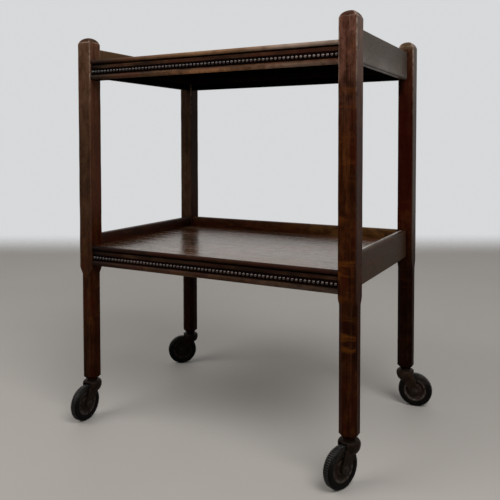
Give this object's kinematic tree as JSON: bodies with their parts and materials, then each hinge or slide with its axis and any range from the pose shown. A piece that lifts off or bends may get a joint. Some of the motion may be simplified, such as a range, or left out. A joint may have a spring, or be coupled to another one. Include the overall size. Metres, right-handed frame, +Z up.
{
  "type": "two-tier tea trolley",
  "caption": "Two-tier dark oak tea trolley: domed square posts, low galleries, beaded front rails and rubber-tyred swivel casters.",
  "frame": {"origin": "on the floor, midway between the four posts", "axes": "+Z up, front towards -Y, +X to the right of someone facing the front"},
  "size_m": [0.6652, 0.4438, 0.7855],
  "materials": {
    "post_oak": "dark stained oak, polished and worn",
    "board_oak": "dark stained oak, French polished",
    "front_rail_oak": "dark stained oak, polished",
    "back_rail_oak": "dark stained oak, polished",
    "end_rail_oak": "dark stained oak, worn polish",
    "bead_oak": "very dark stained oak, polished",
    "cleat_wood": "unpolished softwood",
    "horn_iron": "browned, lightly rusted iron",
    "disc_steel": "tarnished brown pressed steel",
    "rivet_steel": "tarnished steel",
    "fitting_steel": "plain steel",
    "tyre_rubber": "aged black rubber"
  },
  "bodies": {
    "frame": {"post_front_left": "post_oak", "caster_socket_front_left": "fitting_steel", "post_front_right": "post_oak", "caster_socket_front_right": "fitting_steel", "post_back_right": "post_oak", "caster_socket_back_right": "fitting_steel", "post_back_left": "post_oak", "caster_socket_back_left": "fitting_steel", "upper_board": "board_oak", "upper_front_rail": "front_rail_oak", "upper_bead_moulding": "bead_oak", "upper_back_rail": "back_rail_oak", "upper_left_end_rail": "end_rail_oak", "upper_right_end_rail": "end_rail_oak", "upper_cleats": "cleat_wood", "lower_board": "board_oak", "lower_front_rail": "front_rail_oak", "lower_bead_moulding": "bead_oak", "lower_back_rail": "back_rail_oak", "lower_left_end_rail": "end_rail_oak", "lower_right_end_rail": "end_rail_oak", "lower_cleats": "cleat_wood"},
    "caster_front_left": {"caster_fork_front_left": "horn_iron", "caster_stem_front_left": "fitting_steel", "thrust_washer_front_left": "fitting_steel", "axle_rivet_front_left": "rivet_steel"},
    "wheel_front_left": {"wheel_bush_front_left": "fitting_steel", "wheel_discs_front_left": "disc_steel", "tyre_front_left": "tyre_rubber"},
    "caster_front_right": {"caster_fork_front_right": "horn_iron", "caster_stem_front_right": "fitting_steel", "thrust_washer_front_right": "fitting_steel", "axle_rivet_front_right": "rivet_steel"},
    "wheel_front_right": {"wheel_bush_front_right": "fitting_steel", "wheel_discs_front_right": "disc_steel", "tyre_front_right": "tyre_rubber"},
    "caster_back_right": {"caster_fork_back_right": "horn_iron", "caster_stem_back_right": "fitting_steel", "thrust_washer_back_right": "fitting_steel", "axle_rivet_back_right": "rivet_steel"},
    "wheel_back_right": {"wheel_bush_back_right": "fitting_steel", "wheel_discs_back_right": "disc_steel", "tyre_back_right": "tyre_rubber"},
    "caster_back_left": {"caster_fork_back_left": "horn_iron", "caster_stem_back_left": "fitting_steel", "thrust_washer_back_left": "fitting_steel", "axle_rivet_back_left": "rivet_steel"},
    "wheel_back_left": {"wheel_bush_back_left": "fitting_steel", "wheel_discs_back_left": "disc_steel", "tyre_back_left": "tyre_rubber"}
  },
  "joints": [
    {"name": "swivel_front_left", "type": "hinge", "parent": "frame", "child": "caster_front_left", "pos_m": [-0.281, -0.184, 0.0795], "axis": [0, 0, 1], "continuous": true},
    {"name": "roll_front_left", "type": "hinge", "parent": "caster_front_left", "child": "wheel_front_left", "pos_m": [-0.28173, -0.20499, 0.0355], "axis": [0.9994, -0.0349, 0], "continuous": true},
    {"name": "swivel_front_right", "type": "hinge", "parent": "frame", "child": "caster_front_right", "pos_m": [0.281, -0.184, 0.0795], "axis": [0, 0, 1], "continuous": true},
    {"name": "roll_front_right", "type": "hinge", "parent": "caster_front_right", "child": "wheel_front_right", "pos_m": [0.27246, -0.20318, 0.0355], "axis": [0.9135, -0.4067, 0], "continuous": true},
    {"name": "swivel_back_right", "type": "hinge", "parent": "frame", "child": "caster_back_right", "pos_m": [0.281, 0.184, 0.0795], "axis": [0, 0, 1], "continuous": true},
    {"name": "roll_back_right", "type": "hinge", "parent": "caster_back_right", "child": "wheel_back_right", "pos_m": [0.30188, 0.1862, 0.0355], "axis": [-0.1045, 0.9945, 0], "continuous": true},
    {"name": "swivel_back_left", "type": "hinge", "parent": "frame", "child": "caster_back_left", "pos_m": [-0.281, 0.184, 0.0795], "axis": [0, 0, 1], "continuous": true},
    {"name": "roll_back_left", "type": "hinge", "parent": "caster_back_left", "child": "wheel_back_left", "pos_m": [-0.29709, 0.1705, 0.0355], "axis": [0.6428, -0.766, 0], "continuous": true}
  ]
}
